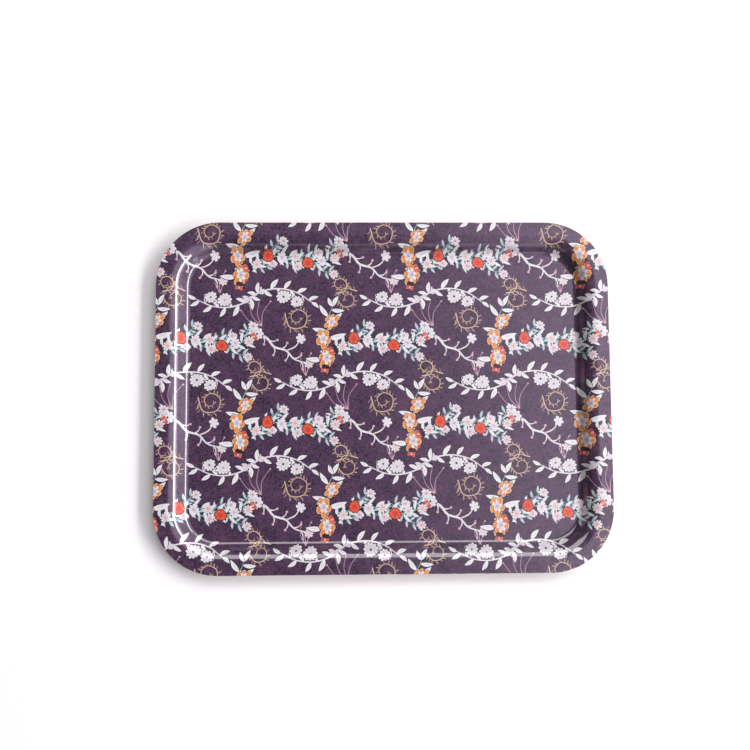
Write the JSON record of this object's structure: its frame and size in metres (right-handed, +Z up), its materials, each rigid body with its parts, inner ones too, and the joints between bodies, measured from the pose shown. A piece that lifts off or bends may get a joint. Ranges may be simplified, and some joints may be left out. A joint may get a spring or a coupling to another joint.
{
  "type": "serving tray",
  "caption": "Rounded rectangular serving tray pressed from layered sheets, with a flat floor, a low sloping wall, an outward lip and a dark floral printed face.",
  "frame": {"origin": "middle of the flat underside, where the tray rests", "axes": "+X along the long side, +Y along the short side, +Z up out of the serving floor"},
  "size_m": [0.43, 0.332, 0.0156],
  "materials": {
    "clear_resin": "clear satin gloss",
    "printed_paper": null,
    "kraft_paper": "resin-filled brown paper",
    "birch_long_grain": "pale birch, grain along the length",
    "birch_cross_grain": "pale birch, grain across",
    "sealed_backing": "satin sealing sheet, birch showing through"
  },
  "bodies": {
    "root": {"clear_overlay": "clear_resin", "printed_decor_sheet": "printed_paper", "kraft_underlay": "kraft_paper", "birch_veneer_1": "birch_long_grain", "birch_veneer_2": "birch_cross_grain", "birch_veneer_3": "birch_long_grain", "birch_veneer_4": "birch_cross_grain", "birch_veneer_5": "birch_long_grain", "backing_sheet": "sealed_backing"}
  },
  "joints": []
}
